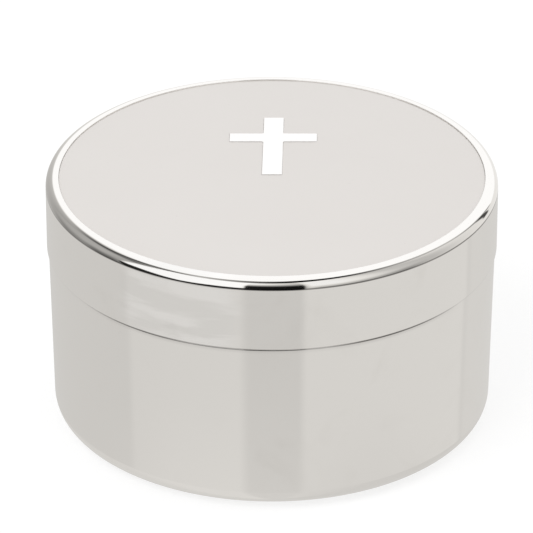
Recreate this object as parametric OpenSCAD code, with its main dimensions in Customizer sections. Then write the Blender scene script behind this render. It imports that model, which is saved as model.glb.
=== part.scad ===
// Round keepsake box for a rosary: a pressed, polished box with a lift-off lid.
// The lid carries an enamelled panel with a plain cross, and slips over an inner collar in the base.
// Millimetres. +Z is up, the origin is the centre of the resting face, and the cross stands towards +Y.

/* [Lid] */
// Outside diameter of the lid
lid_d = 76; // [70:1:84]
// Height of the lid, from its lower edge to the top of its rim
lid_h = 12.65; // [12:0.05:14]
// Thickness of the lid's metal
lid_wall = 0.8; // [0.6:0.1:1]
// Radius of the rounded shoulder round the lid's top
rim_round = 1.5; // [1.2:0.1:2]
// Width of the flat ring between the shoulder and the enamel
rim_flat = 0.7; // [0.4:0.1:1.5]
// Depth of the pan that holds the enamel
pan_depth = 0.9; // [0.7:0.1:1.2]
// Radius that breaks the lid's lower outer edge
lid_edge = 0.2; // [0.1:0.05:0.3]

/* [Enamel and cross] */
// Thickness of the enamel
enamel_t = 0.7; // [0.4:0.1:1]
// Gap between the enamel and the metal round it
enamel_gap = 0.05; // [0.03:0.01:0.1]
// Height of the cross, from its foot to its head
cross_h = 21.2; // [16:0.1:26]
// Width of the cross over its arms
cross_w = 14.9; // [10:0.1:20]
// Width of the cross's upright
upright_w = 3.4; // [2:0.1:5]
// Height of the cross's arm bar
arm_h = 3; // [2:0.1:5]
// Height of the arm bar's middle above the cross's foot
arm_up = 13.7; // [10:0.1:13.9]
// Distance from the lid's centre to the cross's foot
foot_y = 0; // [-4:0.1:4]
// Height of the cross's face above the enamel
cross_proud = 0.1; // [0.05:0.05:0.3]

/* [Base] */
// Height of the base, from its lower edge to its rim
base_h = 30.35; // [27:0.05:34]
// Thickness of the base's metal
base_wall = 0.8; // [0.6:0.1:1]
// Amount by which the base's radius narrows from its rim to its foot
base_taper = 0.55; // [0.3:0.05:0.8]
// Radius of the rounded corner between the base's wall and floor
corner_round = 3; // [2.4:0.1:4]
// Radius that breaks the base's upper outer edge
base_edge = 0.2; // [0.1:0.05:0.3]
// Radius of the pressed panel in the floor
panel_r = 29.5; // [24:0.5:30]
// Height by which the panel is pressed up
panel_rise = 0.6; // [0.3:0.1:0.8]
// Width of the slope at the panel's edge
panel_step = 0.5; // [0.3:0.1:0.8]

/* [Collar] */
// Thickness of the inner collar's metal
collar_wall = 0.6; // [0.4:0.1:0.8]
// Height by which the collar stands above the base's rim
collar_up = 7; // [5:0.5:7.5]
// Depth to which the collar goes down inside the base
collar_down = 6; // [4:0.5:10]
// Radial clearance between the collar and its seat in the base
collar_fit = 0.05; // [0.03:0.01:0.08]
// Radial clearance between the collar and the lid
lid_clear = 0.35; // [0.3:0.05:0.5]

/* [Lining] */
// Thickness of the velvet
velvet_t = 0.6; // [0.4:0.1:0.8]
// Thickness of the card discs in the two pads
card_t = 0.8; // [0.5:0.1:1.2]
// Thickness of the foam in the floor pad
floor_foam_t = 2; // [1:0.5:4]
// Thickness of the foam in the lid's pad
lid_foam_t = 1; // [0.5:0.1:1.2]
// Radius that softens the foam's upper edge
foam_round = 0.4; // [0.2:0.1:0.8]
// Width of the velvet's hem behind a pad
hem_w = 2.6; // [2:0.1:3]
// Clearance round a pad
pad_clear = 0.3; // [0.2:0.1:0.6]
// Thickness of the card strip behind the wall's velvet
wall_card_t = 0.5; // [0.3:0.1:0.8]
// Distance from the wall strip's top down to the collar's top
strip_down = 1; // [0.5:0.5:3]
// Clearance between the layers of the lining, and behind them
layer_gap = 0.1; // [0.05:0.05:0.2]
// Width of the open joint where the wall strip's ends meet
strip_joint = 0.5; // [0.3:0.1:1]
// Thickness of the felt under the base
felt_t = 1; // [0.9:0.1:1.5]
// Clearance round the felt
felt_clear = 0.5; // [0.3:0.1:1]

/* [Hidden] */
$fn = 180;

// Heights
base_z = felt_t - panel_rise;
floor_z = base_z + base_wall;
seam_z = base_z + base_h;
top_z = seam_z + lid_h;
pan_z = top_z - pan_depth;
ceiling_z = pan_z - lid_wall;
collar_top_z = seam_z + collar_up;
collar_foot_z = seam_z - collar_down;

// Radii of the metal, from the lid inwards
lid_r = lid_d / 2;
lid_in_r = lid_r - lid_wall;
pan_r = lid_r - rim_round - rim_flat;
collar_r = lid_in_r - lid_clear;
collar_in_r = collar_r - collar_wall;
seat_r = collar_r + collar_fit;
base_rim_r = seat_r + base_wall;
base_foot_r = base_rim_r - base_taper;
corner_r = base_foot_r - corner_round;
inner_round = corner_round - base_wall;
wall_foot_z = floor_z + inner_round;

// Lining of the wall
strip_r = min(collar_in_r, corner_r + inner_round) - layer_gap;
strip_in_r = strip_r - wall_card_t - layer_gap - velvet_t;
strip_top_z = collar_top_z - strip_down;
strip_turn = 360 - strip_joint / strip_in_r * 180 / PI;

// The two pads
pad_round = foam_round + velvet_t;
floor_pad_r = min(strip_in_r - pad_clear, corner_r + pad_round);
floor_pad_lift = max(0, panel_rise - velvet_t);
lid_pad_r = collar_in_r - pad_clear;
panel_edge_r = panel_r + panel_step * 2;

// Colours
silver = [0.8, 0.79, 0.77];
bright_silver = [0.93, 0.92, 0.9];
warm_white = [0.9, 0.88, 0.86];
blue_velvet = [0.07, 0.1, 0.24];
black_felt = [0.13, 0.13, 0.15];
grey_card = [0.55, 0.5, 0.42];
cream_foam = [0.85, 0.82, 0.7];

// What lies outside a quarter circle: turn is 0 for an upper corner and -90 for a lower one
module outside_quarter(centre, round, turn) {
    translate(centre)
        rotate(turn)
            difference() {
                square(round * 2);
                circle(round);
            }
}

// Outline of the base, filled to its axis and open above; inset moves it in by the metal's thickness
module base_outline(inset) {
    foot_z = base_z + inset;
    foot_r = base_foot_r - inset;
    bend = corner_round - inset;
    bend_z = foot_z + bend;
    lean = base_taper / (base_h - corner_round);
    over_z = top_z;
    difference() {
        polygon([[0, foot_z], [foot_r, foot_z], [foot_r, bend_z],
            [foot_r + lean * (over_z - bend_z), over_z], [0, over_z]]);
        outside_quarter([foot_r - bend, bend_z], bend, -90);
    }
}

// Profile of the pressed panel, sunk into the metal below the given height by the overlap
module panel_outline(r, z, overlap) {
    polygon([[0, z - overlap], [r + panel_step, z - overlap], [r + panel_step, z],
        [r, z + panel_rise], [0, z + panel_rise]]);
}

module base_shell() {
    color(silver)
        rotate_extrude()
            difference() {
                union() {
                    difference() {
                        base_outline(0);
                        base_outline(base_wall);
                        translate([0, collar_foot_z])
                            square([seat_r, lid_d]);
                        translate([0, seam_z])
                            square(lid_d);
                    }
                    panel_outline(panel_r + panel_step, floor_z, base_wall / 2);
                }
                panel_outline(panel_r, base_z, base_wall);
                outside_quarter([base_rim_r - base_edge, seam_z - base_edge], base_edge, 0);
            }
}

module inner_collar() {
    lip = collar_wall / 2;
    color(silver)
        rotate_extrude() {
            translate([collar_in_r, collar_foot_z])
                square([collar_wall, collar_top_z - lip - collar_foot_z]);
            translate([collar_r - lip, collar_top_z - lip])
                circle(lip);
        }
}

module base_felt() {
    color(black_felt)
        cylinder(r = panel_r - felt_clear, h = felt_t);
}

module lid_shell() {
    color(silver)
        rotate_extrude()
            difference() {
                translate([0, seam_z])
                    square([lid_r, lid_h]);
                translate([0, seam_z - lid_wall])
                    square([lid_in_r, ceiling_z - seam_z + lid_wall]);
                translate([0, pan_z])
                    square([pan_r, lid_h]);
                outside_quarter([lid_r - rim_round, top_z - rim_round], rim_round, 0);
                outside_quarter([lid_r - lid_edge, seam_z + lid_edge], lid_edge, -90);
            }
}

// Plan of the cross, grown by a margin all round
module cross_plan(margin) {
    translate([-upright_w / 2 - margin, foot_y - margin])
        square([upright_w + margin * 2, cross_h + margin * 2]);
    translate([-cross_w / 2 - margin, foot_y + arm_up - arm_h / 2 - margin])
        square([cross_w + margin * 2, arm_h + margin * 2]);
}

module lid_cross() {
    color(bright_silver)
        translate([0, 0, pan_z])
            linear_extrude(enamel_t + cross_proud)
                cross_plan(0);
}

module lid_enamel() {
    color(warm_white)
        translate([0, 0, pan_z])
            linear_extrude(enamel_t)
                difference() {
                    circle(pan_r - enamel_gap);
                    cross_plan(enamel_gap);
                }
}

// Disc with a softened upper edge, from the height low up to the height high
module pad_outline(r, low, high, bend) {
    difference() {
        translate([0, low])
            square([r, high - low]);
        outside_quarter([r - bend, high - bend], bend, 0);
    }
}

// A pad's velvet: it covers the foam and is turned in behind the card as a hem
module pad_velvet(r, foam_t, open_r) {
    high = velvet_t * 2 + card_t + foam_t;
    color(blue_velvet)
        rotate_extrude()
            difference() {
                pad_outline(r, 0, high, pad_round);
                pad_outline(r - velvet_t, velvet_t, high - velvet_t, foam_round);
                outside_quarter([r - pad_round, pad_round], pad_round, -90);
                square([open_r, velvet_t * 2]);
            }
}

module pad_foam(r, foam_t) {
    low = velvet_t + card_t;
    color(cream_foam)
        rotate_extrude()
            pad_outline(r - velvet_t - layer_gap, low, low + foam_t - layer_gap, foam_round);
}

module pad_card(r) {
    color(grey_card)
        translate([0, 0, velvet_t])
            cylinder(r = r - velvet_t - foam_round, h = card_t);
}

// The floor's pad stands on the floor's outer ring, or on the pressed panel where that is higher
module on_floor() {
    translate([0, 0, floor_z + floor_pad_lift])
        children();
}

// The lid's pad hangs upside down from the underside of the pan
module under_ceiling() {
    translate([0, 0, ceiling_z])
        mirror([0, 0, 1])
            children();
}

module floor_card() {
    on_floor()
        pad_card(floor_pad_r);
}

module floor_foam() {
    on_floor()
        pad_foam(floor_pad_r, floor_foam_t);
}

module floor_velvet() {
    hem_r = max(floor_pad_r - pad_round - hem_w, panel_edge_r + layer_gap);
    on_floor()
        pad_velvet(floor_pad_r, floor_foam_t, hem_r);
}

module lid_card() {
    under_ceiling()
        pad_card(lid_pad_r);
}

module lid_foam() {
    under_ceiling()
        pad_foam(lid_pad_r, lid_foam_t);
}

module lid_velvet() {
    under_ceiling()
        pad_velvet(lid_pad_r, lid_foam_t, lid_pad_r - pad_round - hem_w);
}

// Sweeps the wall strip's profile round the box, with its open joint at the back
module wall_strip() {
    rotate([0, 0, 90 + (360 - strip_turn) / 2])
        rotate_extrude(angle = strip_turn)
            children();
}

module wall_card() {
    color(grey_card)
        wall_strip()
            translate([strip_r - wall_card_t, wall_foot_z])
                square([wall_card_t, strip_top_z - velvet_t - layer_gap - wall_foot_z]);
}

// The velvet faces the card and is folded over its top edge
module wall_velvet() {
    fold = strip_r - strip_in_r;
    color(blue_velvet)
        wall_strip()
            difference() {
                translate([strip_in_r, wall_foot_z])
                    square([fold, strip_top_z - wall_foot_z]);
                translate([strip_in_r + velvet_t, wall_foot_z - velvet_t])
                    square([fold, strip_top_z - wall_foot_z]);
                translate([strip_in_r + fold / 2, strip_top_z - fold / 2])
                    difference() {
                        translate([-fold, 0])
                            square([fold * 2, fold]);
                        circle(fold / 2);
                    }
            }
}

base_shell();
inner_collar();
base_felt();
floor_card();
floor_foam();
floor_velvet();
wall_card();
wall_velvet();
lid_shell();
lid_cross();
lid_enamel();
lid_card();
lid_foam();
lid_velvet();
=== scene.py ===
import math

import bmesh
import bpy
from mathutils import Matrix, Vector, noise
from mathutils.bvhtree import BVHTree


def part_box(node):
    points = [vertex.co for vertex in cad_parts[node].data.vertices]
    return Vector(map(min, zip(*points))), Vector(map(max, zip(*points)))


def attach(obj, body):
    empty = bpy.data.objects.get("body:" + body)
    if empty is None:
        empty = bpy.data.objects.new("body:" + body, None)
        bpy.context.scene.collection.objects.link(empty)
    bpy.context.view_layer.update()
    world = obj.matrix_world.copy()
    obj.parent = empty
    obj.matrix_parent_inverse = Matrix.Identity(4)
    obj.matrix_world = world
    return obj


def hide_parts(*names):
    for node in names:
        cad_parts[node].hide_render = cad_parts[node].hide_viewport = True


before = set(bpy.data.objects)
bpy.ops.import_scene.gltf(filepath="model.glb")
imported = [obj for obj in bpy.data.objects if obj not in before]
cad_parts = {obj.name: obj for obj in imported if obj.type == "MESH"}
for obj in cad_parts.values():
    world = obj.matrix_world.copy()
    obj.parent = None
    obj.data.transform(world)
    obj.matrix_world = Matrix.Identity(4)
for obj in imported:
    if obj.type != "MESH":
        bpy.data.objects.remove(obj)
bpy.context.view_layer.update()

# ---------------------------------------------------------------- sizes, in metres

MM = 0.001
SEGMENTS = 512            # steps round a polished body of revolution
SOFT_SEGMENTS = 288       # steps round a velvet, felt or foam piece
ARC_STEP = math.radians(7.5)
HAIR = 0.01 * MM          # keeps two faces, or two rounds, just apart

# Lid, base and collar
RIM_ROUND = 1.55 * MM     # shoulder of the lid
PAN_DEPTH = 0.9 * MM      # pan that holds the enamel
PAN_BREAK = 0.05 * MM     # breaks the pan's upper edge
LID_WALL = 0.8 * MM
LID_EDGE = 0.2 * MM       # breaks the lid's lower outer edge
LID_INSIDE = 0.5 * MM     # corner between the lid's wall and its ceiling
BASE_WALL = 0.8 * MM
BASE_TAPER = 0.55 * MM    # narrowing of the base from its rim to its foot
BASE_EDGE = 0.2 * MM      # breaks the base's upper outer edge
CORNER_ROUND = 3.0 * MM   # corner between the base's wall and floor
PANEL_STEP = 0.5 * MM     # slope at the edge of the pressed floor panel
PANEL_ROUND = 0.2 * MM    # bends at the two ends of that slope
COLLAR_WALL = 0.6 * MM
BREAK = 0.08 * MM         # small round on the metal's hidden edges

# Cross and enamel
UPRIGHT = 3.4 * MM        # width of the cross's upright
ARM_H = 3.0 * MM          # width of its arms
ARM_UP = 13.7 * MM        # height of the arms' middle above the cross's foot
CROSS_LEAN = 0.017        # the upright leans a little to the right
CROSS_INNER = 0.28 * MM   # round of its inner corners
CROSS_OUTER = 0.14 * MM
CROSS_ROLL = (0.05 * MM, 0.04 * MM)     # how far an upper edge rolls, inwards and down
ENAMEL_ROLL = (0.07 * MM, 0.02 * MM)
ENAMEL_GAP = 0.05 * MM    # between the pan and the enamel's CAD solid
ENAMEL_SEAM = 0.02 * MM   # between the metal and the enamel as seen

# Lining and felt
VELVET = 0.6 * MM
VELVET_CLEAR = 0.02 * MM  # between the velvet and what it covers
VELVET_GRID = 0.7 * MM    # longest step across a velvet pad
HEM = 2.6 * MM            # velvet turned in behind a pad
HEM_ROUND = 0.2 * MM
PAD_ROUND = 1.0 * MM
PAD_SIDE = 0.06 * MM      # room beside and over a velvet pad for its fine folds
PAD_TOP = 0.04 * MM
CROWN = 0.55 * MM         # how much higher a pad stands at its middle
STRIP_JOINT = 0.5 * MM    # butt joint of the strip round the wall
FELT_CLEAR = 0.5 * MM     # between the felt and the edge of its panel

# Trial cloth, whose puckers go into the velvet pads
CLOTH_SCALE = 10          # it is larger than the pad, for the solver's sake
CLOTH_RINGS = 30
CLOTH_STEPS = 200
CLOTH_FRAMES = 24
CLOTH_UNEVEN = 0.004      # height of its first unevenness, from which the puckers grow
CLOTH_UNEVEN_SCALE = 14   # bumps in a metre of that
CLOTH_SETTINGS = {
    "quality": 6, "mass": 0.3, "tension_stiffness": 12, "compression_stiffness": 12,
    "shear_stiffness": 5, "bending_stiffness": 0.5, "use_pressure": True,
    "uniform_pressure_force": 4, "shrink_min": -0.03, "vertex_group_mass": "held",
}
PUCKER_SHARE = 0.45       # share of the free cloth's puckers that the foam under it leaves
MOST_PUCKER = 0.22 * MM


def low(node):
    """The lowest corner of a CAD node at rest."""
    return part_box(node)[0]


def high(node):
    """The highest corner of a CAD node at rest."""
    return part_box(node)[1]


lid_r = high("lid_shell").x
top_z = high("lid_shell").z
seam_z = low("lid_shell").z
base_r = high("base_shell").x
base_z = low("base_shell").z
collar_r = high("inner_collar").x
collar_top_z = high("inner_collar").z
collar_foot_z = low("inner_collar").z
pan_r = high("lid_enamel").x + ENAMEL_GAP
enamel_z = high("lid_enamel").z
pan_z = top_z - PAN_DEPTH
ceiling_z = high("lid_velvet").z
felt_r = high("base_felt").x
felt_z = high("base_felt").z
floor_z = base_z + BASE_WALL
seat_r = base_r - BASE_WALL
panel_rise = felt_z - base_z


# ---------------------------------------------------------------- outlines and meshes

def rounded(corners, closed=True):
    """Points and outward normals of an outline walked with the solid on its left.

    Each corner is (x, y, radius). The result holds (x, y, normal x, normal y).
    """
    made = []
    for i, (x, y, radius) in enumerate(corners):
        here = Vector((x, y))
        before = Vector(corners[i - 1][:2])
        after = Vector(corners[(i + 1) % len(corners)][:2])
        if not closed and i in (0, len(corners) - 1):
            way = (after - here if i == 0 else here - before).normalized()
            made.append((x, y, way.y, -way.x))
            continue
        way_in = (here - before).normalized()
        way_out = (after - here).normalized()
        turn = math.atan2(way_in.x * way_out.y - way_in.y * way_out.x, way_in.dot(way_out))
        side = math.copysign(1, turn)
        start = here - way_in * radius * math.tan(abs(turn) / 2)
        centre = start + Vector((-way_in.y, way_in.x)) * radius * side
        steps = max(3, math.ceil(abs(turn) / ARC_STEP))
        for step in range(steps + 1):
            angle = turn * step / steps
            nx = way_in.y * math.cos(angle) + way_in.x * math.sin(angle)
            ny = way_in.y * math.sin(angle) - way_in.x * math.cos(angle)
            made.append((centre.x + nx * radius * side, centre.y + ny * radius * side, nx, ny))
    return made


def denser(outline, spacing, closed=True):
    """The outline with its straight stretches cut into steps no longer than the spacing."""
    made = []
    last = len(outline) if closed else len(outline) - 1
    for i in range(last):
        a, b = outline[i], outline[(i + 1) % len(outline)]
        steps = max(1, math.ceil(math.dist(a[:2], b[:2]) / spacing))
        for step in range(steps):
            t = step / steps
            made.append(tuple(p + (q - p) * t for p, q in zip(a, b)))
    if not closed:
        made.append(outline[-1])
    return made


def new_piece(name, points, faces, normals=None):
    """A smooth mesh object; normals, one for each point, keep a polished face true."""
    mesh = bpy.data.meshes.new(name)
    mesh.from_pydata(points, [], faces)
    mesh.polygons.foreach_set("use_smooth", [True] * len(mesh.polygons))
    mesh.update()
    if normals:
        mesh.normals_split_custom_set_from_vertices(normals)
    piece = bpy.data.objects.new(name, mesh)
    bpy.context.scene.collection.objects.link(piece)
    return piece


def revolve(name, outline, segments=SEGMENTS, closed=True, polished=True):
    """Turns an outline of (radius, height, normal) points round the Z axis."""
    points, normals, rings = [], [], []
    for r, z, nr, nz in outline:
        pole = r < 1e-7
        ring = []
        for step in range(1 if pole else segments):
            a = 2 * math.pi * step / segments
            ring.append(len(points))
            points.append((r * math.cos(a), r * math.sin(a), z))
            normals.append((0, 0, math.copysign(1, nz)) if pole
                           else (nr * math.cos(a), nr * math.sin(a), nz))
        rings.append(ring)
    faces = []
    pairs = zip(rings, rings[1:] + rings[:1]) if closed else zip(rings, rings[1:])
    for one, two in pairs:
        for step in range(segments):
            after = step + 1
            corners = [one[step % len(one)], one[after % len(one)],
                       two[after % len(two)], two[step % len(two)]]
            corners = list(dict.fromkeys(corners))
            if len(corners) > 2:
                faces.append(corners)
    return new_piece(name, points, faces, normals if polished else None)


def sweep_strip(name, outline, turn, start, segments):
    """Turns an outline part of the way round the Z axis and closes both ends."""
    count = len(outline)
    points = []
    for step in range(segments + 1):
        a = start + turn * step / segments
        points += [(r * math.cos(a), r * math.sin(a), z) for r, z, _, _ in outline]
    faces = []
    for step in range(segments):
        for i in range(count):
            j = (i + 1) % count
            here, there = step * count, (step + 1) * count
            faces.append((here + i, there + i, there + j, here + j))
    faces.append(tuple(range(count)))
    faces.append(tuple(reversed(range(segments * count, (segments + 1) * count))))
    return new_piece(name, points, faces)


def slab(name, outlines, stations):
    """A flat piece between outlines seen from above, the first round it and the rest round holes.

    Each station, from the upper face down to the lower one, is (inset, height, tilt of the normal).
    """
    points, normals, loops = [], [], []
    for outline in outlines:
        for inset, z, tilt in stations:
            loops.append(list(range(len(points), len(points) + len(outline))))
            for x, y, nx, ny in outline:
                points.append((x - nx * inset, y - ny * inset, z))
                normals.append((nx * math.sin(tilt), ny * math.sin(tilt), math.cos(tilt)))
    faces = []
    for i in range(len(outlines)):
        ring = loops[i * len(stations):(i + 1) * len(stations)]
        for upper, lower in zip(ring, ring[1:]):
            for j in range(len(upper)):
                k = (j + 1) % len(upper)
                faces.append((lower[j], lower[k], upper[k], upper[j]))
    piece = new_piece(name, points, faces)
    grown = bmesh.new()
    grown.from_mesh(piece.data)
    grown.verts.ensure_lookup_table()
    for index, up in ((0, 1), (len(stations) - 1, -1)):
        rim = set()
        for i in range(len(outlines)):
            rim.update(loops[i * len(stations) + index])
        edges = [e for e in grown.edges if e.is_boundary and all(v.index in rim for v in e.verts)]
        filled = bmesh.ops.triangle_fill(grown, edges=edges, use_beauty=True, normal=(0, 0, up))
        for item in filled["geom"]:
            if isinstance(item, bmesh.types.BMFace):
                item.normal_update()
                if item.normal.z * up < 0:
                    item.normal_flip()
                item.smooth = True
    grown.to_mesh(piece.data)
    grown.free()
    piece.data.normals_split_custom_set_from_vertices(normals)
    return piece


def edge_roll(inset, drop, steps=5):
    """Stations of a quarter ellipse, from the upper face over its edge, as (inset, drop, tilt)."""
    made = []
    for step in range(steps + 1):
        a = math.pi / 2 * step / steps
        tilt = math.atan2(drop * math.sin(a), inset * math.cos(a))
        made.append((inset * (1 - math.sin(a)), drop * (1 - math.cos(a)), tilt))
    return made


def slab_stations(top, bottom, inset, drop):
    """Stations of a slab with its upper edge rolled and its lower edge broken."""
    upper = [(i, top - d, tilt) for i, d, tilt in edge_roll(inset, drop)]
    lower = [(i, bottom + d, math.pi - tilt) for i, d, tilt in edge_roll(BREAK, BREAK, steps=2)]
    return upper + lower[::-1]


def ruffle(piece, amount, size, seed, where=lambda point: 1.0):
    """Moves the points of a soft piece a little along their normals, by smooth noise."""
    mesh = piece.data
    shift = Vector((seed * 7.3, seed * 3.1, seed * 5.7))
    moves = [v.normal * (noise.noise(v.co / size + shift) * amount * where(v.co))
             for v in mesh.vertices]
    for vertex, move in zip(mesh.vertices, moves):
        vertex.co += move
    mesh.update()


def cloth_disc(radius, seed):
    """Points and faces of the trial cloth: a disc in rings, level at its edge, uneven inside."""
    points = [(0, 0, 0)]
    for ring in range(1, CLOTH_RINGS + 1):
        share = ring / CLOTH_RINGS
        for step in range(CLOTH_STEPS):
            a = 2 * math.pi * step / CLOTH_STEPS
            x = radius * CLOTH_SCALE * share * math.cos(a)
            y = radius * CLOTH_SCALE * share * math.sin(a)
            place = Vector((x * CLOTH_UNEVEN_SCALE, y * CLOTH_UNEVEN_SCALE, seed))
            points.append((x, y, noise.noise(place) * CLOTH_UNEVEN * (1 - share)))
    faces = [(0, 1 + step, 1 + (step + 1) % CLOTH_STEPS) for step in range(CLOTH_STEPS)]
    for ring in range(1, CLOTH_RINGS):
        start = 1 + (ring - 1) * CLOTH_STEPS
        for step in range(CLOTH_STEPS):
            here, after = start + step, start + (step + 1) % CLOTH_STEPS
            faces.append((here, here + CLOTH_STEPS, after + CLOTH_STEPS, after))
    return points, faces


def settled(points, faces):
    """Where the points of the trial cloth come to rest, with its outer ring held."""
    scene = bpy.context.scene
    mesh = bpy.data.meshes.new("cloth_trial")
    mesh.from_pydata(points, [], faces)
    cloth = bpy.data.objects.new("cloth_trial", mesh)
    scene.collection.objects.link(cloth)
    held = cloth.vertex_groups.new(name="held")
    held.add(list(range(len(points) - CLOTH_STEPS, len(points))), 1, "REPLACE")
    modifier = cloth.modifiers.new("cloth", "CLOTH")
    modifier.point_cache.frame_start = 1
    modifier.point_cache.frame_end = CLOTH_FRAMES
    modifier.collision_settings.use_collision = False
    for key, value in CLOTH_SETTINGS.items():
        setattr(modifier.settings, key, value)
    modifier.settings.effector_weights.gravity = 0
    for frame_number in range(1, CLOTH_FRAMES + 1):
        scene.frame_set(frame_number)
    result = cloth.evaluated_get(bpy.context.evaluated_depsgraph_get()).to_mesh()
    shape = [vertex.co.copy() for vertex in result.vertices]
    scene.frame_set(1)
    bpy.data.objects.remove(cloth)
    bpy.data.meshes.remove(mesh)
    return shape


def pressed_cloth(radius, seed):
    """Lets foam press up a disc of cloth held round its edge, and gives the puckers this leaves.

    The result says how far the cloth stands above its mean height there, in metres, at (x, y).
    """
    points, faces = cloth_disc(radius, seed)
    shape = settled(points, faces)
    for ring in range(CLOTH_RINGS):
        members = range(1 + ring * CLOTH_STEPS, 1 + (ring + 1) * CLOTH_STEPS)
        mean = sum(shape[i].z for i in members) / CLOTH_STEPS
        for i in members:
            shape[i].z -= mean
    shape[0].z = 0
    tree = BVHTree.FromPolygons(shape, faces)

    def pucker(x, y):
        above = Vector((x * CLOTH_SCALE, y * CLOTH_SCALE, 1))
        hit = tree.ray_cast(above, Vector((0, 0, -1)))[0]
        rise = hit.z / CLOTH_SCALE if hit else 0
        return max(-MOST_PUCKER, min(MOST_PUCKER, rise * PUCKER_SHARE))

    return pucker


# ---------------------------------------------------------------- materials

def add(tree, kind, inputs=None, **settings):
    """A new node; each input is a number, a colour or another node's output."""
    made = tree.nodes.new("ShaderNode" + kind)
    for key, value in settings.items():
        setattr(made, key, value)
    for key, value in (inputs or {}).items():
        if isinstance(value, bpy.types.NodeSocket):
            tree.links.new(value, made.inputs[key])
        else:
            made.inputs[key].default_value = value
    return made


class Term:
    """A number in a node tree, whose arithmetic adds the nodes that work it out."""

    def __init__(self, tree, source):
        self.tree = tree
        self.source = source

    def math(self, operation, other=None):
        inputs = {0: self.source}
        if other is not None:
            inputs[1] = other.source if isinstance(other, Term) else other
        return Term(self.tree, add(self.tree, "Math", inputs, operation=operation).outputs[0])

    def __add__(self, other):
        return self.math("ADD", other)

    def __sub__(self, other):
        return self.math("SUBTRACT", other)

    def __mul__(self, other):
        return self.math("MULTIPLY", other)

    def __truediv__(self, other):
        return self.math("DIVIDE", other)

    def inverse(self):
        """1 where this is 0, and 0 where it is 1."""
        return self * -1 + 1

    def without(self, cover):
        """This, faded out where the cover is 1."""
        return self * cover.inverse()

    def faded_to(self, other, cover):
        """This, replaced by the other where the cover is 1."""
        return self.without(cover) + cover * other

    def step(self, start, end):
        """0 below start, 1 above end and smooth between."""
        inputs = {"Value": self.source, "From Min": start, "From Max": end}
        made = add(self.tree, "MapRange", inputs, interpolation_type="SMOOTHSTEP")
        return Term(self.tree, made.outputs["Result"])

    def fall(self, start, end):
        """1 below start, 0 above end and smooth between."""
        return self.step(start, end).inverse()

    def between(self, start, end, soft):
        """1 from start to end and 0 outside, with soft sides."""
        return self.step(start - soft, start + soft) * self.fall(end - soft, end + soft)

    def ramp(self, start, end, stops):
        """A level read off stops of (place, level), with places from start to end."""
        inputs = {"Value": self.source, "From Min": start, "From Max": end}
        place = add(self.tree, "MapRange", inputs).outputs["Result"]
        made = add(self.tree, "ValToRGB", {"Fac": place})
        elements = made.color_ramp.elements
        while len(elements) < len(stops):
            elements.new(0.5)
        for element, (where, level) in zip(elements, stops):
            element.position = (where - start) / (end - start)
            element.color = (level, level, level, 1)
        return Term(self.tree, made.outputs["Color"])


def new_material(name):
    """A material with its tree, its shader and the object's own coordinates."""
    material = bpy.data.materials.new(name)
    material.use_nodes = True
    tree = material.node_tree
    tree.nodes.clear()
    shader = add(tree, "BsdfPrincipled")
    add(tree, "OutputMaterial", {"Surface": shader.outputs["BSDF"]})
    coords = add(tree, "TexCoord").outputs["Object"]
    return material, tree, shader, coords


def noise_value(tree, coords, scale, detail=3.0, roughness=0.5, distortion=0.0):
    """Smooth noise from 0 to 1, with about that many bumps to the metre."""
    return add(tree, "TexNoise", {"Vector": coords, "Scale": scale, "Detail": detail,
                                  "Roughness": roughness, "Distortion": distortion}).outputs["Fac"]


def remap(tree, value, from_min, from_max, to_min, to_max):
    """A value carried from one range to another, and held within it."""
    return add(tree, "MapRange", {"Value": value, "From Min": from_min, "From Max": from_max,
                                  "To Min": to_min, "To Max": to_max}).outputs["Result"]


def blend_colour(tree, factor, one, two):
    """Colour one where the factor is 0 and two where it is 1."""
    mix = add(tree, "Mix", {"Factor": factor}, data_type="RGBA")
    for index, colour in ((6, one), (7, two)):
        if isinstance(colour, bpy.types.NodeSocket):
            tree.links.new(colour, mix.inputs[index])
        else:
            mix.inputs[index].default_value = (*colour, 1)
    return mix.outputs[2]


def bump(tree, height, distance, under=None):
    """A normal that follows a height of up to that distance, laid over another one if given."""
    inputs = {"Height": height, "Distance": distance, "Strength": 1.0}
    if under is not None:
        inputs["Normal"] = under
    return add(tree, "Bump", inputs).outputs["Normal"]


def stretch(tree, coords, factors):
    """The coordinates times a factor for each axis, so that a large one gives short marks."""
    return add(tree, "Mapping", {"Vector": coords, "Scale": factors}).outputs["Vector"]


def connect(tree, shader, **sockets):
    """Links outputs to the shader's colour, roughness and normal."""
    names = {"colour": "Base Color", "roughness": "Roughness", "normal": "Normal"}
    for key, value in sockets.items():
        tree.links.new(value, shader.inputs[names[key]])


def painted_dark_line(tree, coords, colour, height, half, soft, strength, along=None):
    """The colour with a painted dark line round the box at a height, stronger here and weaker
    there.

    Half is half its width and soft the width of its fading edge. Along gives its share from left
    to right as stops of (x, share).
    """
    axes = add(tree, "SeparateXYZ", {"Vector": coords}).outputs
    near = (Term(tree, axes["Z"]) - height).math("ABSOLUTE").fall(half, half + soft)
    if along:
        near = near * Term(tree, axes["X"]).ramp(along[0][0], along[-1][0], along)
    patchy = noise_value(tree, stretch(tree, coords, (1, 1, 0.1)), 38, detail=2)
    cover = near * Term(tree, remap(tree, patchy, 0.38, 0.62, 0.55, 1)) * strength
    return blend_colour(tree, cover.source, colour, PAINTED_DARK)


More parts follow.
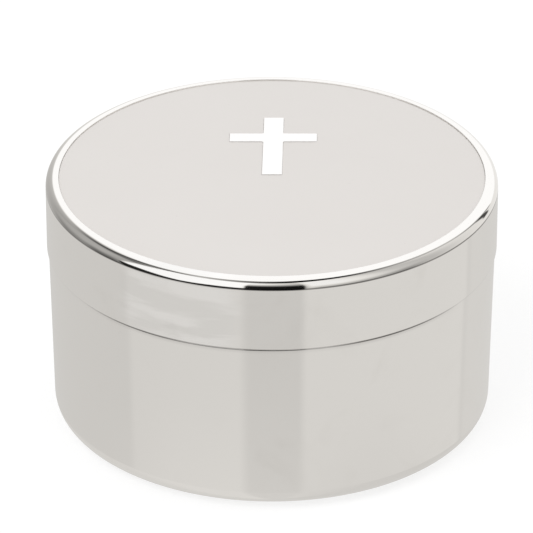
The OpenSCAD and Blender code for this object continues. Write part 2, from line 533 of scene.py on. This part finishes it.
def painted_reflection_patch(tree, coords, colour, centre, radius):
    """The colour with a painted reflection: a patch of light and dark streaks at a fixed place."""
    apart = add(tree, "VectorMath", {0: coords, 1: centre}, operation="DISTANCE").outputs["Value"]
    inside = Term(tree, apart).fall(radius * 0.7, radius * 1.1)
    streaks = noise_value(tree, stretch(tree, coords, (1, 1, 6)), 64, detail=3, distortion=0.35)
    streaks = Term(tree, streaks).step(0.42, 0.64)
    shade = blend_colour(tree, streaks.source, REFLECTION_STREAK_DARK, REFLECTION_STREAK_LIGHT)
    return blend_colour(tree, (inside * 0.9).source, colour, shade)


def polished_silver(name, colour, haze, waviness, smudges, lines=(), patch=None):
    """Silver plate: a mirror with soft waves, faint handling smudges and fine wiping marks."""
    material, tree, shader, coords = new_material(name)
    smudge = noise_value(tree, coords, 95, detail=5, roughness=0.6, distortion=0.8)
    smudge = remap(tree, smudge, 0.52, 0.72, 0, 1)
    wipes = noise_value(tree, stretch(tree, coords, (40, 40, 900)), 6, detail=2)
    wipes = remap(tree, wipes, 0.45, 0.75, 0, 0.02)
    gloss = remap(tree, smudge, 0, 1, CLEAN_PLATE, CLEAN_PLATE + smudges)
    gloss = add(tree, "Math", {0: gloss, 1: wipes}, operation="ADD").outputs[0]
    waves = noise_value(tree, coords, 55, detail=1)
    grain = noise_value(tree, coords, 2600, detail=2)
    normal = bump(tree, grain, PLATE_GRAIN, under=bump(tree, waves, waviness))
    tone = blend_colour(tree, smudge, colour, haze)
    # Painted reflection streaks, where a patch is given
    if patch:
        tone = painted_reflection_patch(tree, coords, tone, **patch)
    # Painted dark lines of shadow and reflection, where they are given
    for line in lines:
        tone = painted_dark_line(tree, coords, tone, **line)
    connect(tree, shader, colour=tone, roughness=gloss, normal=normal)
    shader.inputs["Metallic"].default_value = 1
    return material


def glossy_enamel():
    """Warm white enamel, poured and polished: glossy, with faint depth, specks and orange peel."""
    material, tree, shader, coords = new_material("warm_white_enamel")
    cloud = noise_value(tree, coords, 45, detail=4)
    cloud = remap(tree, cloud, 0.3, 0.7, 0, 1)
    colour = blend_colour(tree, cloud, (0.815, 0.779, 0.747), (0.828, 0.793, 0.762))
    specks = noise_value(tree, coords, 1500, detail=1)
    specks = remap(tree, specks, 0.74, 0.8, 0, 0.12)
    colour = blend_colour(tree, specks, colour, (0.55, 0.5, 0.46))
    touch = noise_value(tree, coords, 120, detail=5, distortion=1.2)
    gloss = remap(tree, touch, 0.4, 0.75, 0.1, 0.2)
    peel = noise_value(tree, coords, 420, detail=2)
    connect(tree, shader, colour=colour, roughness=gloss, normal=bump(tree, peel, 0.0025 * MM))
    shader.inputs["IOR"].default_value = 1.5
    return material


def velvet(name, seed):
    """Short dense pile that lies this way and that, so it shades in soft patches."""
    material, tree, shader, coords = new_material(name)
    offset = add(tree, "Mapping", {"Vector": coords, "Location": (seed, seed * 2, 0)})
    coords = offset.outputs["Vector"]
    nap = noise_value(tree, coords, 130, detail=3, distortion=1.5)
    nap = remap(tree, nap, 0.35, 0.68, 0, 1)
    pile = noise_value(tree, coords, 4200, detail=2)
    tufts = noise_value(tree, coords, 1500, detail=3)
    shade = add(tree, "Math", {0: nap, 1: tufts}, operation="MULTIPLY").outputs[0]
    normal = bump(tree, nap, 0.35 * MM)
    normal = bump(tree, tufts, 0.22 * MM, under=normal)
    normal = bump(tree, pile, 0.12 * MM, under=normal)
    colour = blend_colour(tree, shade, VELVET_DEEP, VELVET_LIT)
    connect(tree, shader, colour=colour, normal=normal)
    shader.inputs["Roughness"].default_value = 1
    shader.inputs["Specular IOR Level"].default_value = 0.1
    shader.inputs["Sheen Weight"].default_value = 0.55
    shader.inputs["Sheen Roughness"].default_value = 0.35
    shader.inputs["Sheen Tint"].default_value = (0.35, 0.45, 0.9, 1)
    return material


def fibrous(name, dark, light, scale, depth, roughness=0.95):
    """Felt, grey board or foam: a matt matted body."""
    material, tree, shader, coords = new_material(name)
    fibres = noise_value(tree, stretch(tree, coords, (1, 1, 2.5)), scale, detail=6, roughness=0.7,
                         distortion=1.0)
    blot = noise_value(tree, coords, scale / 9, detail=3)
    tone = add(tree, "Math", {0: fibres, 1: blot}, operation="MULTIPLY").outputs[0]
    tone = remap(tree, tone, 0.12, 0.42, 0, 1)
    connect(tree, shader, colour=blend_colour(tree, tone, dark, light),
            normal=bump(tree, fibres, depth))
    shader.inputs["Roughness"].default_value = roughness
    shader.inputs["Sheen Weight"].default_value = 0.15
    return material


def open_foam(name):
    """Pale open-cell foam, with its cells as pits, painted darker in the pits as shade."""
    material, tree, shader, coords = new_material(name)
    cells = add(tree, "TexVoronoi", {"Vector": coords, "Scale": 1900}).outputs["Distance"]
    shade = remap(tree, cells, 0.1, 0.6, 0, 1)
    connect(tree, shader, colour=blend_colour(tree, shade, (0.45, 0.38, 0.24), (0.72, 0.66, 0.48)),
            normal=bump(tree, cells, 0.25 * MM))
    shader.inputs["Roughness"].default_value = 0.9
    return material


SILVER = (0.93, 0.915, 0.895)
SILVER_HAZE = (0.922, 0.905, 0.883)
# Colour of the painted dark lines: painted shadow in the seam and painted reflection at the foot of
# the lid's shoulder
PAINTED_DARK = (0.06, 0.05, 0.045)
REFLECTION_STREAK_DARK = (0.895, 0.885, 0.87)
REFLECTION_STREAK_LIGHT = (0.995, 0.985, 0.975)
VELVET_DEEP = (0.006, 0.011, 0.045)
VELVET_LIT = (0.03, 0.05, 0.17)
CLEAN_PLATE = 0.045       # roughness of the plate where nothing has touched it
PLATE_GRAIN = 0.0006 * MM

# Strength of the painted shadow in the seam from left to right, as stops of (x, share)
SEAM_SHADOW_SHARE = [(-0.036, 0.12), (-0.029, 0.35), (-0.025, 0.75), (-0.021, 1.0), (-0.004, 0.95),
                (0.003, 0.5), (0.009, 0.45), (0.015, 0.85), (0.019, 1.0), (0.0245, 0.95),
                (0.028, 0.5), (0.031, 0.08)]
# Painted shadow in the seam between lid and base, on both parts
seam_shadow_line = {"height": seam_z, "half": 0.19 * MM, "soft": 0.09 * MM, "strength": 0.96,
             "along": SEAM_SHADOW_SHARE}
# Painted shade on the base just below the seam, soft and about 1 mm wide
seam_shade = {**seam_shadow_line, "half": 0.1 * MM, "soft": 0.9 * MM, "strength": 0.24}
# Painted reflection: a dark line at the foot of the lid's rounded shoulder
shoulder_reflection_line = {"height": top_z - RIM_ROUND + 0.06 * MM, "half": 0.1 * MM, "soft": 0.07 * MM,
                 "strength": 0.72}
# Where the painted reflection streaks lie, on the left front of the lid's wall
lid_reflection_streaks = {"centre": (-0.0155, -0.0347, 0.0365), "radius": 0.0115}

silver_lid = polished_silver("silver_plate_lid", SILVER, SILVER_HAZE, 0.04 * MM, 0.07,
                             [seam_shadow_line, shoulder_reflection_line], lid_reflection_streaks)
silver_base = polished_silver("silver_plate_base", SILVER, SILVER_HAZE, 0.02 * MM, 0.09,
                              [seam_shadow_line, seam_shade])
silver_collar = polished_silver("silver_plate_collar", (0.92, 0.9, 0.87), (0.88, 0.85, 0.8),
                                0.03 * MM, 0.2)
silver_cross = polished_silver("silver_plate_cross", (0.97, 0.96, 0.95), (0.95, 0.94, 0.93),
                               0.004 * MM, 0.05)
enamel = glossy_enamel()
velvet_floor = velvet("velvet_floor_pile", 0.011)
velvet_wall = velvet("velvet_wall_pile", 0.027)
velvet_ceiling = velvet("velvet_ceiling_pile", 0.043)
felt = fibrous("pressed_felt", (0.006, 0.006, 0.007), (0.035, 0.035, 0.04), 1600, 0.3 * MM)
card = fibrous("grey_board", (0.2, 0.16, 0.12), (0.42, 0.36, 0.28), 900, 0.04 * MM, roughness=0.85)
foam = open_foam("cream_foam")


# ---------------------------------------------------------------- pieces

def finish_piece(piece, material, body, slot, *nodes):
    """Gives the piece its material and body, and hides the CAD nodes it stands for. The slot is not
    used.
    """
    piece.data.materials.append(material)
    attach(piece, body)
    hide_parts(*nodes)
    return piece


def make_lid():
    """The pressed lid: side wall, rounded shoulder, flat ring and the pan for the enamel."""
    inside_r = lid_r - LID_WALL
    outline = rounded([
        (0, ceiling_z, 0),
        (inside_r, ceiling_z, LID_INSIDE),
        (inside_r, seam_z, BREAK),
        (lid_r, seam_z, LID_EDGE),
        (lid_r, top_z, RIM_ROUND),
        (pan_r, top_z, PAN_BREAK),
        (pan_r, pan_z, BREAK),
        (0, pan_z, 0),
    ], closed=False)
    piece = revolve("polished_lid", outline, closed=False)
    return finish_piece(piece, silver_lid, "lid", "silver_plate", "lid_shell")


def make_base():
    """The pressed base: tapered wall, rounded corner, pressed panel and the seat for the collar."""
    foot_r = base_r - BASE_TAPER
    lean = BASE_TAPER / (seam_z - base_z - CORNER_ROUND)
    inner_bend = CORNER_ROUND - BASE_WALL
    ledge_r = base_r - BASE_WALL - lean * (seam_z - collar_foot_z)
    panel_r = felt_r + FELT_CLEAR
    outline = rounded([
        (0, felt_z, 0),
        (panel_r, felt_z, PANEL_ROUND),
        (panel_r + PANEL_STEP, base_z, PANEL_ROUND),
        (foot_r, base_z, CORNER_ROUND),
        (base_r, seam_z, BASE_EDGE),
        (seat_r, seam_z, BREAK),
        (seat_r, collar_foot_z, BREAK / 4),
        (ledge_r, collar_foot_z, BREAK / 4),
        (foot_r - BASE_WALL, floor_z, inner_bend),
        (panel_r + PANEL_STEP * 2, floor_z, PANEL_ROUND),
        (panel_r + PANEL_STEP, floor_z + panel_rise, PANEL_ROUND),
        (0, floor_z + panel_rise, 0),
    ], closed=False)
    piece = revolve("polished_base", outline, closed=False)
    return finish_piece(piece, silver_base, "base", "silver_plate", "base_shell")


def make_collar():
    """The thin ring that the lid slips over, with a smooth rounded lip."""
    inside_r = collar_r - COLLAR_WALL
    lip = COLLAR_WALL / 2 - HAIR
    outline = rounded([
        (inside_r, collar_foot_z, BREAK),
        (collar_r, collar_foot_z, BREAK),
        (collar_r, collar_top_z, lip),
        (inside_r, collar_top_z, lip),
    ])
    piece = revolve("polished_collar", outline)
    return finish_piece(piece, silver_collar, "base", "silver_plate", "inner_collar")


def cross_corners(grow):
    """Corners of the cross seen from above, walked anticlockwise, grown by a margin."""
    lowest, highest = low("lid_cross"), high("lid_cross")
    half_w = highest.x + grow
    half_up = UPRIGHT / 2 + grow
    foot, head = lowest.y - grow, highest.y + grow
    arm_low = lowest.y + ARM_UP - ARM_H / 2 - grow
    arm_high = lowest.y + ARM_UP + ARM_H / 2 + grow
    plan = [(-half_up, foot), (half_up, foot), (half_up, arm_low), (half_w, arm_low),
            (half_w, arm_high), (half_up, arm_high), (half_up, head), (-half_up, head),
            (-half_up, arm_high), (-half_w, arm_high), (-half_w, arm_low), (-half_up, arm_low)]
    inner = [(half_up, arm_low), (half_up, arm_high), (-half_up, arm_high), (-half_up, arm_low)]
    return [(x + y * CROSS_LEAN, y, CROSS_INNER if (x, y) in inner else CROSS_OUTER)
            for x, y in plan]


def make_cross():
    """The plain polished cross, with softly broken edges."""
    stations = slab_stations(high("lid_cross").z, pan_z, *CROSS_ROLL)
    piece = slab("polished_cross", [rounded(cross_corners(0))], stations)
    return finish_piece(piece, silver_cross, "lid", "cross_metal", "lid_cross")


def make_enamel():
    """The enamel panel: flat, rolling down a little where it meets the rim and the cross."""
    edge_r = pan_r - ENAMEL_SEAM
    edge = []
    for step in range(SEGMENTS):
        a = 2 * math.pi * step / SEGMENTS
        edge.append((edge_r * math.cos(a), edge_r * math.sin(a), math.cos(a), math.sin(a)))
    hole = rounded(cross_corners(ENAMEL_SEAM)[::-1])
    stations = slab_stations(enamel_z, pan_z, *ENAMEL_ROLL)
    piece = slab("enamel_panel", [edge, hole], stations)
    return finish_piece(piece, enamel, "lid", "enamel", "lid_enamel")


def pad_rise(x, y, r):
    """How far a pad stands above its edge at a place, without its puckers."""
    return CROWN * max(0, 1 - (x * x + y * y) / (r * r))


def edge_height(node, spare):
    """Height of a pad's edge, which leaves room in its node for the crown and the puckers."""
    return high(node).z - low(node).z - CROWN - MOST_PUCKER - spare


def place_pad(piece, node, hanging, rise):
    """Raises a pad made on the ground, then stands it in its node or hangs it there."""
    start = high(node).z if hanging else low(node).z
    flip = -1 if hanging else 1
    for vertex in piece.data.vertices:
        x, y, z = vertex.co
        vertex.co.z = start + flip * (z + rise(x, y, z))
    if hanging:
        piece.data.flip_normals()


def pad_cover(name, node, hanging, material, body, seed):
    """Velvet drawn over a foam pad and turned in behind it, crowned and puckered by its foam."""
    r = high(node).x - PAD_SIDE
    inner = VELVET - VELVET_CLEAR
    edge_top = edge_height(node, PAD_TOP)
    inside_top = edge_top - inner
    open_r = r - PAD_ROUND - HEM
    outline = rounded([
        (0, inside_top, 0),
        (r - inner, inside_top, 0.35 * MM),
        (r - inner, inner, 0.1 * MM),
        (open_r, inner, HEM_ROUND),
        (open_r, 0, HEM_ROUND),
        (r, 0, PAD_ROUND),
        (r, edge_top, PAD_ROUND),
        (0, edge_top, 0),
    ], closed=False)
    piece = revolve(name, denser(outline, VELVET_GRID, closed=False), SOFT_SEGMENTS,
                    closed=False, polished=False)
    pucker = pressed_cloth(r - PAD_ROUND / 2, seed)
    place_pad(piece, node, hanging,
              lambda x, y, z: min(1, z / inside_top) * (pad_rise(x, y, r) + pucker(x, y)))
    ruffle(piece, 0.025 * MM, 1.1 * MM, seed + 1)
    return finish_piece(piece, material, body, "velvet", node)


def pad_foam(name, node, hanging, body):
    """The foam disc in a pad, a little crowned, with its cut edge soft."""
    r = high(node).x - VELVET_CLEAR
    thick = edge_height(node, 0.1 * MM)
    outline = rounded([
        (0, HAIR, 0),
        (r, HAIR, 0.1 * MM),
        (r, thick, 0.3 * thick),
        (0, thick, 0),
    ], closed=False)
    piece = revolve(name, denser(outline, 1.5 * MM, closed=False), SOFT_SEGMENTS // 2,
                    closed=False, polished=False)
    place_pad(piece, node, hanging, lambda x, y, z: min(1, z / thick) * pad_rise(x, y, r))
    return finish_piece(piece, foam, body, "foam", node)


def make_wall_velvet():
    """The velvet strip round the wall, folded over its card, with its butt joint at the back."""
    strip_r, strip_top = high("wall_velvet").x, high("wall_velvet").z
    foot = low("wall_velvet").z
    fold = 1.2 * MM  # velvet turned over the card's upper edge
    inside_r = strip_r - fold
    face_r = inside_r + VELVET_CLEAR
    back_r = inside_r + VELVET
    lip_r, lip_top = strip_r - 0.05 * MM, strip_top - 0.03 * MM
    outline = denser(rounded([
        (face_r, foot, 0.15 * MM),
        (back_r, foot, 0.15 * MM),
        (back_r, strip_top - VELVET, 0.05 * MM),
        (lip_r, strip_top - VELVET, 0.1 * MM),
        (lip_r, lip_top, 0.48 * MM),
        (face_r, lip_top, 0.5 * MM),
    ]), 1.2 * MM)
    gap = STRIP_JOINT / inside_r
    piece = sweep_strip("velvet_wall", outline, 2 * math.pi - gap, math.pi / 2 + gap / 2,
                        SOFT_SEGMENTS)

    def inner_face(point):
        return 1.0 if math.hypot(point.x, point.y) < inside_r + VELVET / 2 else 0.3

    ruffle(piece, 0.03 * MM, 6 * MM, 5, inner_face)
    ruffle(piece, 0.02 * MM, 1.2 * MM, 6, inner_face)
    return finish_piece(piece, velvet_wall, "base", "velvet", "wall_velvet")


def make_felt():
    """The felt disc in the pressed panel, its cut edge a little fuzzy."""
    r = felt_r - 0.03 * MM
    outline = rounded([
        (0, 0.0, 0),
        (r, 0.0, 0.22 * MM),
        (r, felt_z - HAIR, 0.1 * MM),
        (0, felt_z - HAIR, 0),
    ], closed=False)
    piece = revolve("felt_foot", denser(outline, 0.9 * MM, closed=False), SOFT_SEGMENTS,
                    closed=False, polished=False)

    def cut_edge(point):
        return 1.0 if math.hypot(point.x, point.y) > r - 0.3 * MM else 0.0

    ruffle(piece, 0.05 * MM, 0.5 * MM, 9, cut_edge)
    for vertex in piece.data.vertices:
        vertex.co.z = min(max(vertex.co.z, 0), felt_z)
    return finish_piece(piece, felt, "base", "felt", "base_felt")


make_lid()
make_base()
make_collar()
make_cross()
make_enamel()
pad_cover("velvet_floor", "floor_velvet", False, velvet_floor, "base", 1)
pad_cover("velvet_ceiling", "lid_velvet", True, velvet_ceiling, "lid", 3)
pad_foam("foam_floor", "floor_foam", False, "base")
pad_foam("foam_ceiling", "lid_foam", True, "lid")
make_wall_velvet()
make_felt()

for node_name in ("floor_card", "wall_card", "lid_card"):
    cad_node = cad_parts[node_name]
    cad_node.data.materials.clear()
    cad_node.data.materials.append(card)


# ---------------------------------------------------------------- floor, light and background

WHITE = 1.06              # level at which the polished metal shows as white
FILL = 0.62               # level of the soft light from all round
STUDIO_GREY = (1.0, 0.983, 0.952)
FLOOR_GREY = (0.35, 0.35, 0.35, 1)
FLOOR_LIFT = 0.74         # glow that brings the lit floor up to white for the camera

# Levels of the table and the tent round the box, as stops of (azimuth, level). The one gives
# way to the other between the two elevations of TABLE_EDGE.
TABLE_EDGE = (-27.2, -25)
TABLE = [
    (-180, 0.64), (-81, 0.63), (-77, 0.68), (-50, 0.69), (-17, 0.695), (-12, 0.62), (14, 0.62),
    (18, 0.71), (60, 0.715), (117, 0.72), (120, 0.66), (124, 0.69), (180, 0.67)]
TABLE_BY_BOX = [
    (-180, 0.67), (-90, 0.7), (-55, 0.745), (-17, 0.745), (-11, 0.675), (13, 0.675), (19, 0.7),
    (36, 0.68), (60, 0.65), (120, 0.65), (180, 0.67)]
TENT = [
    (-180, 0.9), (-160, 0.55), (-135, 0.4), (-90, 0.43), (-78, 0.37), (-74, WHITE), (-16, WHITE),
    (-10, 1.0), (16, 0.6), (19, 0.93), (34, 0.92), (50, 0.8), (66, 0.57), (84, 0.52),
    (104, 0.73), (122, 0.81), (180, 0.92)]

# Upper edge of the dark strip at the left, as stops of (azimuth, share). A share of 0 is at
# STRIP_LOW degrees of elevation, and a share of 1 is STRIP_RISE degrees higher.
STRIP_LOW, STRIP_RISE = -30, 40
STRIP_TOP = [
    (-78, 0.84), (-66, 0.84), (-60, 0.76), (-52, 0.62), (-45, 0.54), (-37, 0.6), (-29, 0.7),
    (-21, 0.68), (-15, 0.66)]

# Darkness of the fold in the tent's roof, as stops of (place from left to right, darkness)
ROOF_FOLD = [
    (-1.3, 0.1), (-0.9, 0.45), (-0.62, 0.85), (-0.38, 0.5), (-0.1, 0.85), (0.1, 1.0),
    (0.32, 0.97), (0.6, 0.5), (1.0, 0.36), (1.4, 0.65), (2.2, 0.6)]


def studio(tree):
    """What the polished metal shows: a pale tent round the box, dark where it opens at the front.

    Azimuth is 0 at the front and 90 to the right, and elevation is above the horizon, in degrees.
    """
    direction = add(tree, "TexCoord").outputs["Generated"]
    axes = add(tree, "SeparateXYZ", {"Vector": direction}).outputs
    x, y, z = (Term(tree, axes[name]) for name in "XYZ")
    azimuth = x.math("ARCTAN2", y * -1) * math.degrees(1)
    elevation = z.math("ARCSINE") * math.degrees(1)
    table = azimuth.ramp(-180, 180, TABLE)
    table = table.faded_to(azimuth.ramp(-180, 180, TABLE_BY_BOX), elevation.fall(-34.5, -31.5))

    strip_top = azimuth.ramp(-80, -10, STRIP_TOP) * STRIP_RISE + STRIP_LOW
    opening = azimuth.between(-13.1, 15.9, 1) * elevation.fall(16, 54)
    strip = azimuth.between(-78, -12, 1) * (elevation - strip_top).fall(-4, 4)
    high_flap = azimuth.between(-165, -80, 6) * elevation.between(39, 52, 6)
    low_flap = azimuth.between(-128, -77, 9) * elevation.fall(-16, 14)
    near_flap = azimuth.between(-98, -78, 6) * elevation.fall(-22, 22)
    slit = azimuth.between(124, 130.5, 1) * elevation.between(-3, 23, 3)
    low_right = azimuth.between(17, 76, 8) * elevation.fall(-20, 20)
    tent = azimuth.ramp(-180, 180, TENT)
    for cover, darkness in ((opening, 0.99), (strip, 0.98), (high_flap, 0.65), (low_flap, 0.42),
                            (near_flap, 0.55), (slit, 0.92), (low_right, 0.55)):
        tent = tent.without(cover * darkness)

    # The roof, as places on a plane one unit above the box, bends along a curve
    height = z.math("MAXIMUM", 0.05)
    roof_x, roof_y = x / height, y / height
    across = roof_x + 0.05
    bend = (across * across + 0.041).math("SQRT") * 1.1 - 0.54
    past_bend = roof_y - bend
    overhead = z.step(0.1, 0.2)
    tent = tent.faded_to(WHITE, past_bend.step(0, 0.1) * overhead * roof_x.step(-0.85, -0.4))
    fold = past_bend.math("ABSOLUTE").fall(0.19, 0.29) * overhead
    tent = tent.without(fold * roof_x.ramp(-1.4, 2.4, ROOF_FOLD))
    return table.faded_to(tent, elevation.step(*TABLE_EDGE))


def seen_straight(tree, ray):
    """1 for a ray from the camera, also where it has gone through glass."""
    seen = {0: ray["Is Camera Ray"], 1: ray["Is Transmission Ray"]}
    return add(tree, "Math", seen, operation="MAXIMUM").outputs[0]


def make_world():
    """White to the camera, the pale tent to polished metal and an even soft light to the rest."""
    world = bpy.data.worlds.new("studio")
    bpy.context.scene.world = world
    world.use_nodes = True
    tree = world.node_tree
    tree.nodes.clear()
    ray = add(tree, "LightPath").outputs
    level = studio(tree)
    tint = blend_colour(tree, level.step(0.8, 0.98).source, STUDIO_GREY, (1, 1, 1))
    shown = add(tree, "VectorMath", {0: tint, 1: level.source}, operation="MULTIPLY").outputs[0]
    colour = blend_colour(tree, seen_straight(tree, ray), (FILL,) * 3, (1, 1, 1))
    colour = blend_colour(tree, ray["Is Glossy Ray"], colour, shown)
    background = add(tree, "Background", {"Color": colour, "Strength": 1.0})
    add(tree, "OutputWorld", {"Surface": background.outputs[0]})


def make_floor():
    """A pale floor: white with the box's soft shadow, clear from below, unseen in the metal."""
    bpy.ops.mesh.primitive_plane_add(size=6, location=(0, 0, -0.1 * MM))
    floor = bpy.context.object
    floor.name = "studio_floor"
    material = bpy.data.materials.new("pale_floor")
    material.use_nodes = True
    tree = material.node_tree
    tree.nodes.clear()
    ray = add(tree, "LightPath").outputs
    matt = add(tree, "BsdfDiffuse", {"Color": FLOOR_GREY})
    lift = Term(tree, seen_straight(tree, ray)) * FLOOR_LIFT
    glow = add(tree, "Emission", {"Color": (1, 1, 1, 1), "Strength": lift.source})
    solid = add(tree, "AddShader", {0: matt.outputs[0], 1: glow.outputs[0]})
    clear = add(tree, "BsdfTransparent")
    under = add(tree, "NewGeometry").outputs["Backfacing"]
    gone = add(tree, "Math", {0: ray["Is Glossy Ray"], 1: under}, operation="MAXIMUM").outputs[0]
    mixed = add(tree, "MixShader", {"Fac": gone, 1: solid.outputs[0], 2: clear.outputs[0]})
    add(tree, "OutputMaterial", {"Surface": mixed.outputs[0]})
    floor.data.materials.append(material)


def make_light(name, place, size, power):
    """A soft square lamp that faces the box and doesn't show in the metal."""
    lamp = bpy.data.lights.new(name, "AREA")
    lamp.size = size
    lamp.energy = power
    light = bpy.data.objects.new(name, lamp)
    bpy.context.scene.collection.objects.link(light)
    light.location = place
    aim = Vector((0, 0, top_z / 2)) - light.location
    light.rotation_euler = aim.to_track_quat("-Z", "Y").to_euler()
    light.visible_glossy = False


VIEW_ELEVATION = math.radians(27.38)
VIEW_DISTANCE = 0.8       # from the middle of the enamel
VIEW_AIM = Vector((-0.0009, 0, 0.0257))
LENS, SENSOR = 321.8, 36  # in millimetres


def make_camera():
    """The photographed view: a long lens, looking down at the lid."""
    data = bpy.data.cameras.new("camera")
    data.lens = LENS
    data.sensor_width = SENSOR
    data.clip_start = 0.05
    data.clip_end = 20
    camera = bpy.data.objects.new("camera", data)
    bpy.context.scene.collection.objects.link(camera)
    camera.location = (0, -VIEW_DISTANCE * math.cos(VIEW_ELEVATION),
                       enamel_z + VIEW_DISTANCE * math.sin(VIEW_ELEVATION))
    camera.rotation_euler = (VIEW_AIM - camera.location).to_track_quat("-Z", "Y").to_euler()
    bpy.context.scene.camera = camera


bpy.context.scene.view_settings.view_transform = "Standard"
make_world()
make_floor()
make_light("key", place=(-0.45, -0.5, 0.85), size=0.7, power=3.6)
make_light("fill", place=(0.6, 0.2, 0.7), size=0.7, power=0.8)
make_camera()
